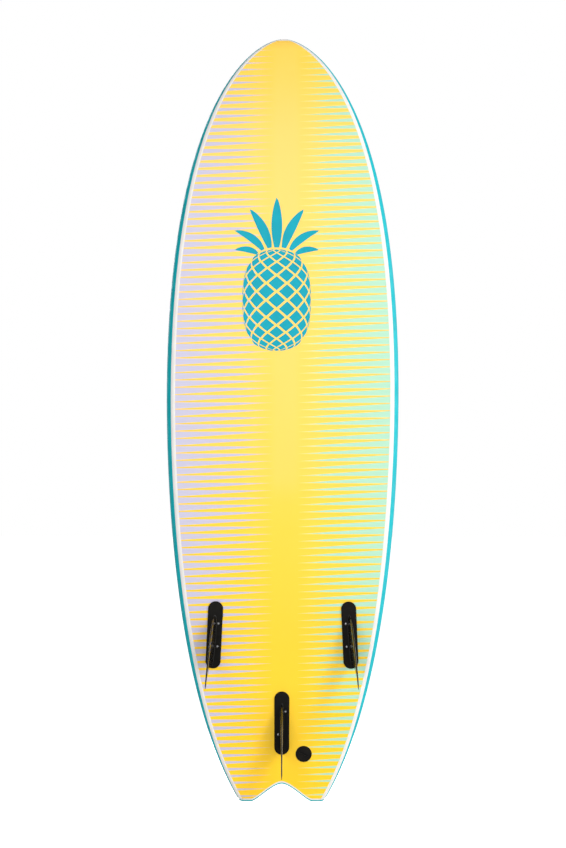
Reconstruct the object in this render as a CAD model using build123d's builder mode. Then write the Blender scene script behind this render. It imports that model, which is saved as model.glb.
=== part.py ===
from build123d import *
from math import comb, cos, radians, sin, sqrt, tan
import os

# Soft-top surfboard with a swallow tail and three bolted fins. It stands on its tail:
# +Z runs from tail to nose, the underside faces -Y and the deck faces +Y.
# The origin is the bottom centre of the whole board's box.

# Board outline, rocker and thickness
board_length = 1829
half_width = 277.5
wide_z = 970  # height of the widest point
mid_z = 900  # height of the thickest, lowest-rocker point
mid_y = -23.955  # underside at mid_z
nose_reach_x = 69  # outline's handle across the nose tip
nose_reach_z = 1689  # its handle up from the widest point
tail_reach_z = 764  # its handle down from the widest point
tail_aim = (259, 247)  # its last handle, towards the tail
tail_half_width = 94.6
tail_overrun = -10  # the blank runs on past the tail, then the tail is cut
nose_rocker = 135
tail_rocker = 45
mid_thickness = 73
nose_thickness = 20
tail_thickness = 31
apex_share = 0.42  # rail apex height, as a share of the thickness
roundness = 0.55  # handle length that makes a Bezier quarter nearly an ellipse
nose_round = 25  # length over which the nose tip rounds off in profile
deck_shoulder = 0.9  # how full the deck is above the rail, as a share of its rise
deck_crown_share = 0.6  # how far out the deck's crown is full, as a share of the width
deck_crown_lift = 1.15  # the crown's handles lie above it by this share of the rise

# Swallow tail
notch_depth = 42
tip_inner_x = 73
tip_outer_x = 90
tip_corner = [(122, 28), (108, 4), (101, 0)]  # from the outline round to the tip
notch_handles = [60, 22]  # how far out the notch's curve stays level, bottom and top

# Layers
slick_thickness = 1.0
bottom_layers = 3.5  # slick and the foam sheet under it
deck_skin_thickness = 5.0
rail_depth = 6.0
slick_inset = 21  # slick's edge, in from the outline at the middle
slick_inset_end = 11  # and at nose and tail
inset_taper = 2.5  # how late the insets shrink towards nose and tail
rail_inset = 11  # where the rail foam ends on the underside
rail_inset_end = 2
tail_band = 3.0
slick_tail_gap = 6.5
core_first_station = 3  # the core stops short of the nose tip
stringer_x = 80
stringer_thickness = 4

# Fins
side_fin_x = 162
side_fin_z = 399
centre_fin_z = 188
side_plate_length = 161
centre_plate_length = 152
plate_width = 36
plate_height = 4.5
plate_bed = 1.5  # how deep a plate beds into the underside
plate_edge_round = 2.5
toe_in = 2.7
cant = 7.5
fin_height = 114.9
fin_base = 118
fin_sweep = 165
fin_thickness = 8
fin_tip_chord = 9
fin_front_rake = 2.5  # how late the leading edge sweeps back
fin_back_rake = 2.6  # and the trailing edge
fin_belly = 14  # fullness of the trailing edge
fin_thinning = 0.62  # thickness lost from base to tip, as a share
fin_nose_fullness = 0.9  # section's bluntness behind the leading edge
fin_tail_start = 0.4  # where the section begins to thin to the trailing edge
blade_front = 46  # leading end of the blade, forward of the plate's middle

# Fin screws and deck-side barrel nuts
screw_spacing = 55
screw_offset = 8.2
screw_head_diameter = 7
screw_head_height = 2.6
screw_recess = 0.4
screw_head_gap = 0.2  # round the head in its counterbore
screw_diameter = 4
screw_length = 24
plate_hole_diameter = 4.6
screw_socket_radius = 1.7
screw_socket_depth = 1.5
barrel_diameter = 10
barrel_flange_diameter = 20
barrel_flange_height = 3
barrel_proud = 0.4
barrel_slot_length = 13
barrel_slot_width = 2
barrel_slot_depth = 1.2

# Leash plug
plug_x = 52.5
plug_z = 114
nut_diameter = 38.6
nut_height = 3.5
nut_bed = 1.8
nut_boss_diameter = 24
nut_boss_height = 9
nut_bore_depth = 7
nut_edge_round = 1
coin_slot_length = 25
coin_slot_width = 3.2
coin_slot_depth = 1.8
coin_slot_angle = -25
cup_flange_diameter = 36
cup_flange_height = 2.5
cup_outer_diameter = 29
cup_bore_diameter = 24
cup_depth = 17
cup_floor = 3
cup_proud = 0.4
stem_diameter = 16
stem_gap = 0.5  # between the stem's end and the nut
pin_diameter = 4
pin_length = 27
pin_depth = 6  # pin centre below the cup's rim

cut_reach = 400  # half height of the tools that cut right through the board
recess_reach = 20  # how far the tools for the deck's recesses stand out of it


def curve_point(points, t):
    """Point at t on the Bezier curve with these control points."""
    degree = len(points) - 1
    weights = [comb(degree, i) * t**i * (1 - t) ** (degree - i) for i in range(degree + 1)]
    x = sum(w * p[0] for w, p in zip(weights, points))
    y = sum(w * p[1] for w, p in zip(weights, points))
    return x, y


def mirrored(points):
    return [(-x, y) for x, y in points]


# Outline, as (half width, height)
nose_tip = [(0, board_length), (nose_reach_x, board_length)]
nose_side = nose_tip + [(half_width, nose_reach_z), (half_width, wide_z)]
tail_side = [(half_width, wide_z), (half_width, tail_reach_z), tail_aim, (tail_half_width, tail_overrun)]


def end_share(z):
    """How far z lies from the middle to the nose (0 to 1) or the tail (0 to -1)."""
    span = board_length - mid_z if z > mid_z else mid_z
    return (z - mid_z) / span


def bottom_y(z):
    """Underside on the centre line."""
    share = end_share(z)
    rocker = nose_rocker if share > 0 else tail_rocker
    return mid_y + rocker * abs(share) ** 3


def thickness(z):
    share = end_share(z)
    end = nose_thickness if share > 0 else tail_thickness
    return mid_thickness - (mid_thickness - end) * share**2


def apex_y(z):
    """Outermost line of the rail."""
    return bottom_y(z) + apex_share * thickness(z)


def deck_curve(width, apex, crown):
    """Deck in cross-section, from the right rail apex over the crown to the left one."""
    rise = crown - apex
    shoulder = (width, apex + deck_shoulder * rise)
    half = [(width, apex), shoulder, (deck_crown_share * width, apex + deck_crown_lift * rise)]
    return half + mirrored(half)[::-1]


def tuck_curve(flat, floor, width, apex):
    """Right-hand rounding of the underside, from the flat to the rail apex."""
    across, up = roundness * (width - flat), roundness * (apex - floor)
    return [(flat, floor), (flat + across, floor), (width, apex - up), (width, apex)]


def crossing(curve, value, axis):
    """Parameter of a curve where the coordinate on this axis is value, by halving."""
    low, high = 0.0, 1.0
    rising = curve[-1][axis] > curve[0][axis]
    for _ in range(40):
        middle = (low + high) / 2
        if (curve_point(curve, middle)[axis] < value) == rising:
            low = middle
        else:
            high = middle
    return low


def piece_of(curve, start, end):
    """The stretch of a Bezier curve between two parameters, as control points."""
    def front(points, t):
        left = []
        while points:
            left.append(points[0])
            pairs = zip(points, points[1:])
            points = [tuple(p + (q - p) * t for p, q in zip(first, second)) for first, second in pairs]
        return left

    head = front(curve, end)
    return front(head[::-1], 1 - start / end)[::-1]


def deck_y(x, z):
    """Deck surface at any point of the board."""
    side = nose_side if z > wide_z else tail_side
    width = curve_point(side, crossing(side, z, 1))[0]
    deck = deck_curve(width, apex_y(z), bottom_y(z) + thickness(z))
    return curve_point(deck, crossing(deck, abs(x), 0))[1]


def stations():
    """Half width and height of each cross-section, nose to tail, closer at the nose tip."""
    tip = [curve_point(nose_side, i / 25) for i in range(1, 5)]
    nose = [curve_point(nose_side, i / 20) for i in range(4, 21)]
    return tip + nose + [curve_point(tail_side, i / 20) for i in range(1, 21)]


def tapered(middle, end, z):
    """A width that shrinks from its value at the middle of the board to that at the ends."""
    return middle + (end - middle) * min(1, abs(end_share(z))) ** inset_taper


class Section:
    """Cross-section at one height: the curves that neighbouring pieces share.

    Each curve is for the right half, from the underside up; the deck's runs right to left.
    """

    def __init__(self, width, z):
        tip_distance = min(board_length - z, nose_round)
        swell = sqrt(1 - (1 - tip_distance / nose_round) ** 2)
        apex = apex_y(z)
        self.floor = apex - (apex - bottom_y(z)) * swell
        self.backing = self.floor + slick_thickness * swell
        self.lining = self.floor + bottom_layers * swell
        crown = apex + (bottom_y(z) + thickness(z) - apex) * swell
        inset = tapered(slick_inset, slick_inset_end, z)
        self.flat = width - inset * width / (width + slick_inset_end)
        depth = rail_depth * width / (width + 2 * rail_depth)
        outer_tuck = tuck_curve(self.flat, self.floor, width, apex)
        inner_tuck = tuck_curve(self.flat, self.lining, width - depth, apex)
        outer_deck = deck_curve(width, apex, crown)
        inner_deck = deck_curve(width - depth, apex, crown - deck_skin_thickness * swell)
        rail_edge = min(tapered(rail_inset, rail_inset_end, z), (width - self.flat) / 2)
        cut = crossing(outer_tuck, width - rail_edge, 0)
        lift = crossing(outer_deck, self.flat, 0)
        self.outer_strip = piece_of(outer_tuck, 0, cut)
        self.inner_strip = piece_of(inner_tuck, 0, cut)
        self.outer_rail = piece_of(outer_tuck, cut, 1)
        self.inner_rail = piece_of(inner_tuck, cut, 1)
        self.outer_lap = piece_of(outer_deck, 0, lift)
        self.inner_lap = piece_of(inner_deck, 0, lift)
        self.outer_deck = piece_of(outer_deck, lift, 1 - lift)
        self.inner_deck = piece_of(inner_deck, lift, 1 - lift)


def flat_layer(section, low, high):
    """Sheet across the underside between two levels."""
    corners = [(-section.flat, low), (section.flat, low), (section.flat, high), (-section.flat, high)]
    return [[start, end] for start, end in zip(corners, corners[1:] + corners[:1])]


def slick_outline(section):
    return flat_layer(section, section.floor, section.backing)


def foam_sheet_outline(section):
    return flat_layer(section, section.backing, section.lining)


def underside_outline(section):
    return flat_layer(section, section.floor, section.lining)


def strip_outline(section):
    """White edge strip, between the slick and the rail."""
    outer, inner = section.outer_strip, section.inner_strip
    return [outer, [outer[-1], inner[-1]], inner[::-1], [inner[0], outer[0]]]


def rail_outline(section):
    """Rail foam, from the edge strip round the apex and on to the deck."""
    up = [section.outer_rail, section.outer_lap]
    down = [section.inner_lap[::-1], section.inner_rail[::-1]]
    top = [section.outer_lap[-1], section.inner_lap[-1]]
    foot = [section.inner_rail[0], section.outer_rail[0]]
    return up + [top] + down + [foot]


def deck_outline(section):
    outer, inner = section.outer_deck, section.inner_deck
    return [outer, [outer[-1], inner[-1]], inner[::-1], [inner[0], outer[0]]]


def ring(level, flat, right_side, deck):
    """Closed outline from its right half, the deck across the top and a flat underside."""
    left_side = [mirrored(curve)[::-1] for curve in right_side[::-1]]
    return [[(-flat, level), (flat, level)]] + right_side + [deck] + left_side


def board_outline(section):
    sides = [section.outer_strip, section.outer_rail, section.outer_lap]
    return ring(section.floor, section.flat, sides, section.outer_deck)


def core_outline(section):
    sides = [section.inner_strip, section.inner_rail, section.inner_lap]
    return ring(section.lining, section.flat, sides, section.inner_deck)


def layer(outline, side=1, first=0):
    """Piece that runs the length of the board, lofted through its cross-sections.

    The section curves are joined outside a line builder, which would merge tangent ones:
    kept apart, each makes its own face, and neighbouring pieces share their faces exactly.
    """
    faces = []
    for width, z in stations()[first:]:
        curves = [[(side * x, y, z) for x, y in curve] for curve in outline(Section(width, z))]
        faces.append(Face(Wire([Edge.make_bezier(*points) for points in curves])))
    with BuildPart() as shape:
        loft(faces, ruled=True, clean=False)
    return shape.part


def tail_edge(inset):
    """Right half of the tail contour, moved into the board by inset: the tip, then the notch.

    Its first point slides along the outline, which leans out by about half its height.
    """
    (start_x, start_z), (low_x, low_z), (level_x, level_z) = tip_corner
    outer = [
        (start_x + 0.6 * inset, start_z + 1.3 * inset),
        (low_x - inset / 2, low_z + inset),
        (level_x - inset / 2, level_z + inset),
        (tip_outer_x, inset),
    ]
    low_handle, high_handle = notch_handles
    apex = notch_depth + inset
    notch = [(tip_inner_x, inset), (low_handle, inset), (high_handle, apex), (0, apex)]
    return outer, notch


def draw_tail_edge(inset, side):
    """Tail contour on one side, drawn into the open line builder."""
    outer, notch = tail_edge(inset)
    Bezier(*[(side * x, z) for x, z in outer])
    Line((side * tip_outer_x, inset), (side * tip_inner_x, inset))
    Bezier(*[(side * x, z) for x, z in notch])


def tail_cutter(inset):
    """Everything past the tail contour."""
    corner_x, corner_z = tail_edge(inset)[0][0]
    far_x, far_z = 2 * half_width, -board_length / 10
    with BuildPart() as tool:
        with BuildSketch(Plane.XZ):
            with BuildLine():
                for side in (1, -1):
                    below = [(0, far_z), (side * far_x, far_z), (side * far_x, corner_z)]
                    Polyline(*below, (side * corner_x, corner_z))
                    draw_tail_edge(inset, side)
            make_face()
        extrude(amount=cut_reach, both=True)
    return tool.part


def surface_plane(x, z, turn=0):
    """Plane on the underside, facing out, its y axis towards the nose, turned in its own plane."""
    step = 1
    slope = (bottom_y(z + step) - bottom_y(z - step)) / (2 * step)
    towards_nose = sin(radians(turn))
    across = (cos(radians(turn)), towards_nose * slope, towards_nose)
    return Plane(origin=(x, bottom_y(z), z), x_dir=across, z_dir=(0, -1, slope))


fin_places = {
    "left": (-side_fin_x, side_fin_z, -1),
    "centre": (0, centre_fin_z, 0),
    "right": (side_fin_x, side_fin_z, 1),
}


def fin_plane(name):
    x, z, side = fin_places[name]
    return surface_plane(x, z, side * toe_in)


def screw_points(name):
    """Two screws per fin, both inboard of a side fin and one each side of the centre fin."""
    side = fin_places[name][2]
    rows = (screw_spacing / 2, -screw_spacing / 2)
    sides = (1, -1) if side == 0 else (-side, -side)
    return [(place * screw_offset, row) for place, row in zip(sides, rows)]


def fin_plate(name, rounded=True):
    """Stadium base plate, bedded into the underside. Its bed is cut with a plain one."""
    length = centre_plate_length if name == "centre" else side_plate_length
    plane = fin_plane(name)
    with BuildPart() as plate:
        with BuildSketch(plane.offset(-plate_bed)):
            SlotOverall(length, plate_width, rotation=90)
        extrude(amount=plate_bed + plate_height)
        if rounded:
            fillet(plate.faces().sort_by(Axis(plane.origin, plane.z_dir))[-1].edges(), plate_edge_round)
    return plate.part


def fin_section(share, lean):
    """Foil section at this share of the blade's height, as two matching curves."""
    height = share * fin_height
    shift = height * tan(radians(lean))
    leading = blade_front - fin_sweep * share**fin_front_rake
    base_trailing = blade_front - fin_base
    tip_trailing = blade_front - fin_sweep - fin_tip_chord
    trailing = base_trailing + (tip_trailing - base_trailing) * share**fin_back_rake
    trailing = trailing + fin_belly * share * (1 - share)
    bulge = fin_thickness * (1 - fin_thinning * share) / 2 / roundness
    thinning_y = trailing + fin_tail_start * (leading - trailing)
    nose_handle = (fin_nose_fullness * bulge, leading)
    face = [(0, leading), nose_handle, (roundness * bulge, thinning_y), (0, trailing)]
    return [[(shift + side * x, y) for x, y in face] for side in (1, -1)]


def fin(name):
    """Fin moulding: base plate with a raked, foiled blade, drilled for its screws."""
    plane = fin_plane(name)
    lean = cant * fin_places[name][2]
    with BuildPart() as moulding:
        for share in (0, 0.2, 0.4, 0.6, 0.8, 0.93, 1):
            with BuildSketch(plane.offset(share * fin_height)):
                with BuildLine():
                    for face in fin_section(share, lean):
                        Bezier(*face)
                make_face()
        loft()
        add(fin_plate(name))
        for x, y in screw_points(name):
            with BuildSketch(plane.offset(-plate_bed)):
                with Locations((x, y)):
                    Circle(plate_hole_diameter / 2)
            extrude(amount=plate_bed + plate_height, mode=Mode.SUBTRACT)
            with BuildSketch(plane.offset(plate_height - screw_recess - screw_head_height)):
                with Locations((x, y)):
                    Circle(screw_head_diameter / 2 + screw_head_gap)
            extrude(amount=2 * screw_head_height, mode=Mode.SUBTRACT)
    return moulding.part


def fin_screws(name):
    """Two pan-head machine screws with hexagon sockets."""
    plane = fin_plane(name)
    seat = plate_height - screw_recess - screw_head_height
    with BuildPart() as screws:
        with BuildSketch(plane.offset(seat)):
            with Locations(*screw_points(name)):
                Circle(screw_head_diameter / 2)
        extrude(amount=screw_head_height)
        with BuildSketch(plane.offset(seat)):
            with Locations(*screw_points(name)):
                Circle(screw_diameter / 2)
        extrude(amount=-screw_length)
        with BuildSketch(plane.offset(seat + screw_head_height)):
            with Locations(*screw_points(name)):
                RegularPolygon(screw_socket_radius, 6)
        extrude(amount=-screw_socket_depth, mode=Mode.SUBTRACT)
    return screws.part


def board_depth(plane, x, y):
    """Distance from a plane on the underside to the deck, straight through the board."""
    depth = mid_thickness / 2
    for _ in range(20):
        point = plane.from_local_coords(Vector(x, y, -depth))
        depth += deck_y(point.X, point.Z) - point.Y
    return depth


def barrel_nuts(name, cutter=False):
    """Two barrel nuts: flange on the deck, barrel through the board to the fin plate.

    The cutter for their holes isn't bored, and is open to the deck side.
    """
    plane = fin_plane(name)
    with BuildPart() as nuts:
        for x, y in screw_points(name):
            outer_face = -board_depth(plane, x, y) - barrel_proud
            reach = recess_reach if cutter else 0
            with BuildSketch(plane.offset(outer_face - reach)):
                with Locations((x, y)):
                    Circle(barrel_flange_diameter / 2)
            extrude(amount=reach + barrel_flange_height)
            with BuildSketch(plane.offset(outer_face)):
                with Locations((x, y)):
                    Circle(barrel_diameter / 2)
            extrude(amount=-plate_bed - outer_face)
            if not cutter:
                with BuildSketch(plane.offset(-plate_bed)):
                    with Locations((x, y)):
                        Circle(screw_diameter / 2)
                extrude(amount=-screw_length, mode=Mode.SUBTRACT)
                with BuildSketch(plane.offset(outer_face)):
                    with Locations((x, y)):
                        Rectangle(barrel_slot_length, barrel_slot_width)
                extrude(amount=barrel_slot_depth, mode=Mode.SUBTRACT)
    return nuts.part


def plug_plane():
    """Leash plug axis: halfway between square to the underside and square to the deck."""
    step = 1
    rise = bottom_y(plug_z + step) - bottom_y(plug_z - step)
    deck_rise = deck_y(plug_x, plug_z + step) - deck_y(plug_x, plug_z - step)
    slope = (rise + deck_rise) / (4 * step)
    return Plane(origin=(plug_x, bottom_y(plug_z), plug_z), x_dir=(1, 0, 0), z_dir=(0, -1, slope))


def disc(plane, height, diameter, length):
    """Round bar on the plug's axis."""
    with BuildPart() as bar:
        with BuildSketch(plane.offset(height)):
            Circle(diameter / 2)
        extrude(amount=length)
    return bar.part


def leash_nut(cutter=False):
    """Disc nut on the underside with a coin slot and a hollow boss. Its cutter is solid."""
    plane = plug_plane()
    with BuildPart() as nut:
        add(disc(plane, -nut_bed, nut_diameter, nut_height))
        if not cutter:
            top = nut.faces().sort_by(Axis(plane.origin, plane.z_dir))[-1]
            fillet(top.edges(), nut_edge_round)
        add(disc(plane, -nut_bed - nut_boss_height, nut_boss_diameter, nut_boss_height))
        if not cutter:
            with BuildSketch(plane.offset(nut_height - nut_bed)):
                SlotOverall(coin_slot_length, coin_slot_width, rotation=coin_slot_angle)
            extrude(amount=-coin_slot_depth, mode=Mode.SUBTRACT)
            add(disc(plane, -nut_bed - nut_boss_height, stem_diameter, nut_bore_depth), mode=Mode.SUBTRACT)
    return nut.part


def cup_rim():
    """Height of the cup's rim on the plug's axis."""
    return -board_depth(plug_plane(), 0, 0) - cup_proud


def leash_cup(cutter=False):
    """Deck cup with a stem that screws into the nut. Its cutter is open to the deck side."""
    plane, rim = plug_plane(), cup_rim()
    bottom = rim + cup_depth + cup_floor
    stem_end = nut_bore_depth - nut_bed - nut_boss_height - stem_gap
    with BuildPart() as cup:
        add(disc(plane, rim, cup_flange_diameter, cup_flange_height))
        add(disc(plane, rim, cup_outer_diameter, cup_depth + cup_floor))
        add(disc(plane, bottom, stem_diameter, stem_end - bottom))
        if cutter:
            add(disc(plane, rim - recess_reach, cup_flange_diameter, recess_reach))
        else:
            add(disc(plane, rim, cup_bore_diameter, cup_depth), mode=Mode.SUBTRACT)
            add(leash_pin(), mode=Mode.SUBTRACT)
    return cup.part


def leash_pin():
    """Steel bar across the cup, captive in its wall."""
    plane = plug_plane()
    across = Plane(origin=plane.from_local_coords(Vector(0, 0, cup_rim() + pin_depth)), z_dir=(1, 0, 0))
    with BuildPart() as pin:
        with BuildSketch(across):
            Circle(pin_diameter / 2)
        extrude(amount=pin_length / 2, both=True)
    return pin.part


def keep(solid, name):
    """Label a finished piece and write it."""
    solid.label = name
    export_step(solid, f"parts/{name}.step")


os.makedirs("parts", exist_ok=True)

# Shapes that several pieces are cut with
slick_end = tail_cutter(slick_tail_gap)
tail_inner = tail_cutter(tail_band)
plates = [fin_plate(name, rounded=False) for name in fin_places]
barrels = [barrel_nuts(name, cutter=True) for name in fin_places]
plug_parts = [leash_nut(cutter=True), leash_cup(cutter=True)]

# Underside: printed slick, foam sheet, and a white strip round the notch
with BuildPart() as bottom_slick:
    add(layer(slick_outline))
    add(slick_end, mode=Mode.SUBTRACT)
    add(plates + barrels + plug_parts, mode=Mode.SUBTRACT)
keep(bottom_slick.part, "bottom_slick")

with BuildPart() as bottom_foam:
    add(layer(foam_sheet_outline))
    add(slick_end, mode=Mode.SUBTRACT)
    add(plates + barrels + plug_parts, mode=Mode.SUBTRACT)
keep(bottom_foam.part, "bottom_foam")

with BuildPart() as edge_strip_tail:
    add(layer(underside_outline))
    add(slick_end, mode=Mode.INTERSECT)
    add(tail_inner, mode=Mode.SUBTRACT)
keep(edge_strip_tail.part, "edge_strip_tail")

# Edge: white strips on the underside and foam rails, left and right
for side, name in ((-1, "left"), (1, "right")):
    with BuildPart() as edge_strip:
        add(layer(strip_outline, side))
        add(tail_inner, mode=Mode.SUBTRACT)
    keep(edge_strip.part, f"edge_strip_{name}")

    with BuildPart() as rail:
        add(layer(rail_outline, side))
        add(tail_inner, mode=Mode.SUBTRACT)
    keep(rail.part, f"rail_{name}")

with BuildPart() as tail_rail:
    add(layer(board_outline))
    add(tail_inner, mode=Mode.INTERSECT)
    add(tail_cutter(0), mode=Mode.SUBTRACT)
keep(tail_rail.part, "tail_rail")

# Deck
with BuildPart() as deck_skin:
    add(layer(deck_outline))
    add(tail_inner, mode=Mode.SUBTRACT)
    add(barrels + plug_parts, mode=Mode.SUBTRACT)
keep(deck_skin.part, "deck_skin")

# Core: three foam blocks and two stringers
with BuildPart() as core:
    add(layer(core_outline, first=core_first_station))
    add(tail_inner, mode=Mode.SUBTRACT)
    add(barrels + plug_parts, mode=Mode.SUBTRACT)

inner_x = stringer_x - stringer_thickness / 2
outer_x = stringer_x + stringer_thickness / 2
slices = {
    "core_left": (-cut_reach, -outer_x),
    "stringer_left": (-outer_x, -inner_x),
    "core_centre": (-inner_x, inner_x),
    "stringer_right": (inner_x, outer_x),
    "core_right": (outer_x, cut_reach),
}
for name, (low, high) in slices.items():
    with BuildPart() as piece:
        add(core.part)
        with BuildSketch(Plane.YZ.offset(low)):
            with Locations((0, board_length / 2)):
                Rectangle(2 * cut_reach, 2 * board_length)
        extrude(amount=high - low, mode=Mode.INTERSECT)
    keep(piece.part, name)

# Fins with their screws and barrel nuts
for name in fin_places:
    keep(fin(name), f"fin_{name}")
    keep(fin_screws(name), f"fin_screws_{name}")
    keep(barrel_nuts(name), f"barrel_nuts_{name}")

# Leash plug
keep(leash_nut(), "leash_nut")
keep(leash_cup(), "leash_cup")
keep(leash_pin(), "leash_pin")
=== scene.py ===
from math import cos, pi, radians, sin, tan

import bmesh
import bpy
import numpy as np
from mathutils import Matrix, Vector


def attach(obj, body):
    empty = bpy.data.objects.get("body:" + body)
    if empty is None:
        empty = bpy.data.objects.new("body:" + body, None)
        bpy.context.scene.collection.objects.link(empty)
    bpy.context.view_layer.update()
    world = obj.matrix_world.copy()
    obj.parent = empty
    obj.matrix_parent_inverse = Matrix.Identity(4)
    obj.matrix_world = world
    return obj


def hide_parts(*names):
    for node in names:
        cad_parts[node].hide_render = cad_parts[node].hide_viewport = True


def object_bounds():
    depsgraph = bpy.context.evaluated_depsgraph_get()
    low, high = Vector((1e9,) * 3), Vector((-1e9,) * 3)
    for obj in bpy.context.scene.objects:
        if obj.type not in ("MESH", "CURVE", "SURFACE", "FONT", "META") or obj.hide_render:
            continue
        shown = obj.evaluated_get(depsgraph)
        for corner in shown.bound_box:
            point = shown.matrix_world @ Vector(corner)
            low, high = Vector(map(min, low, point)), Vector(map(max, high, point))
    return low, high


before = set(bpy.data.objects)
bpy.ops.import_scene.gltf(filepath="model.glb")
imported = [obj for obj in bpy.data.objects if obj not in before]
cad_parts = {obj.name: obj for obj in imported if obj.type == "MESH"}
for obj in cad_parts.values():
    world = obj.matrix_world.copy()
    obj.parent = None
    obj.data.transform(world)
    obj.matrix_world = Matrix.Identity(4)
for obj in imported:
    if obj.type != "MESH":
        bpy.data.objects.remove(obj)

# Soft-top surfboard standing on its tail: +Z to the nose, underside and fins towards -Y.
# Shapes are worked out in millimetres, with the formulas the CAD board is made by, and
# every mesh is written in metres. Pieces that the CAD already shapes well keep its mesh.
# Materials, lights and the camera work in metres throughout.

MM = 0.001
cad_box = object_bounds()

# Board: outline, rocker and thickness
board_length = cad_box[1].z / MM
half_width = cad_box[1].x / MM
highest_y = cad_box[1].y / MM
wide_z = 970
mid_z = 900
mid_y = -23.955
nose_reach_x = 69
nose_reach_z = 1689
tail_reach_z = 764
tail_aim = (259, 247)
tail_half_width = 94.6
tail_overrun = -10
nose_rocker = 135
tail_rocker = 45
mid_thickness = 73
nose_thickness = 20
tail_thickness = 31
apex_share = 0.42
roundness = 0.55
nose_round = 25
deck_shoulder = 0.9
deck_crown_share = 0.6
deck_crown_lift = 1.15

# Swallow tail
notch_depth = 42
tip_inner_x = 73
tip_outer_x = 90
tip_corner = [(122, 28), (108, 4), (101, 0)]
tip_start_slide = (0.6, 1.3)  # how far its first point moves, across and up, for each mm of inset
notch_handles = [60, 22]
tail_join_z = 130  # below this the cross-sections bend to meet the tail contour

# Layers
slick_thickness = 1.0
bottom_layers = 3.5
deck_skin_thickness = 5.0
rail_depth = 6.0
slick_inset = 21
slick_inset_end = 11
inset_taper = 2.5
rail_inset = 11
rail_inset_end = 2
tail_band = 3.0
band_margin = 0.4  # how far the tail band's ends stay inside the outline
band_edge_round = 1.2
slick_tail_gap = 6.5

# Fins
fin_places = {"left": (-162, 399, -1), "centre": (0, 188, 0), "right": (162, 399, 1)}
plate_lengths = {"left": 161, "centre": 152, "right": 161}
plate_width = 36
plate_height = 4.5
plate_bed = 1.5
plate_edge_round = 2.5
toe_in = 2.7
cant = 7.5
fin_height = 114.9
fin_base = 118
fin_sweep = 165
fin_thickness = 8
fin_tip_chord = 9
fin_front_rake = 2.5
fin_back_rake = 2.6
fin_belly = 14
fin_thinning = 0.62
fin_nose_fullness = 0.9
fin_tail_start = 0.4
blade_front = 46
root_fillet = 1.2
blade_bed = 0.4  # how deep a blade starts inside its plate
blade_tip_share = 0.04  # part of a blade's height that rounds off
blade_tip_least = 0.05  # chord and thickness left at the very tip, as a share
screw_spacing = 55
screw_offset = 8.2
counterbore_radius = 3.7
counterbore_depth = 3.0
counterbore_sides = 32
screw_head_radius = 3.5
screw_head_sides = 1.3  # height of the head's straight side
screw_head_crown = 1.3  # rise of its dome
screw_shank_radius = 2.0
screw_shank_end = -22.5
screw_socket_radius = 1.7
screw_socket_depth = 1.5
screw_socket_sides = 6
screw_turns = (25, 70)  # degrees, one for each screw of a pair
barrel_seat_radius = 10.1

# Leash plug
plug_x = 52.5
plug_z = 114
nut_seat_radius = 19.4
cup_seat_radius = 18.1

# Heights over the underside between which each recess is cut, and the top of the fins' cutters
nut_seat_span = (-20, 20)
cup_seat_span = (-80, -15)
barrel_seat_span = (-120, -30)
cutter_top = 20

# Divisions of each piece
table_size = 801
slick_columns = 61
strip_columns = 9
deck_columns = 81
rail_edge_columns = 11
rail_deck_columns = 15
band_round_steps = 5
plate_round_steps = 9
dome_steps = 9
blade_root_rows = 6
blade_body_rows = 30
blade_tip_rows = 7

# Limits in millimetres that stand in for zero, so that nothing is divided by it
least_width = 1e-3
least_tuck = 1e-6

# Mesh cleaning in metres, and the turn in degrees above which an edge stays sharp
merge_distance = 2e-6
shortest_edge = 1e-7
sharp_angle = 40
hardware_sharp_angle = 30
plate_sharp_angle = 50
blade_sharp_angle = 60


# ---------------------------------------------------------------- board formulas

def bezier(points, t):
    """Point on a Bezier curve. Coordinates and t may be arrays."""
    t = np.asarray(t, float)
    while len(points) > 1:
        points = [[a + (b - a) * t for a, b in zip(p, q)] for p, q in zip(points, points[1:])]
    return points[0]


def curve_through(points, count=2001):
    """A plane Bezier curve as two arrays."""
    return bezier(points, np.linspace(0, 1, count))


nose_side = [
    (0, board_length),
    (nose_reach_x, board_length),
    (half_width, nose_reach_z),
    (half_width, wide_z),
]
tail_side = [
    (half_width, wide_z),
    (half_width, tail_reach_z),
    tail_aim,
    (tail_half_width, tail_overrun),
]
outline_x, outline_z = (
    np.concatenate(pair) for pair in zip(curve_through(nose_side), curve_through(tail_side))
)
handles = np.linspace(0, 1, table_size)
tuck_share = bezier([(0,), (roundness,), (1,), (1,)], handles)[0]
deck_share = bezier([(1,), (1,), (deck_crown_share,), (-deck_crown_share,), (-1,), (-1,)], handles)[0]


def half_width_at(z):
    """Half the board's width at these heights."""
    return np.interp(-z, -outline_z, outline_x)


def end_share(z):
    """How far z lies from the middle to the nose (0 to 1) or the tail (0 to -1)."""
    return (z - mid_z) / np.where(z > mid_z, board_length - mid_z, mid_z)


def bottom_y(z):
    """Underside on the centre line."""
    share = end_share(z)
    return mid_y + np.where(share > 0, nose_rocker, tail_rocker) * np.abs(share) ** 3


def tapered(middle, end, z):
    """A size that changes from the board's middle to its ends."""
    return middle + (end - middle) * np.minimum(1, np.abs(end_share(z))) ** inset_taper


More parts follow.
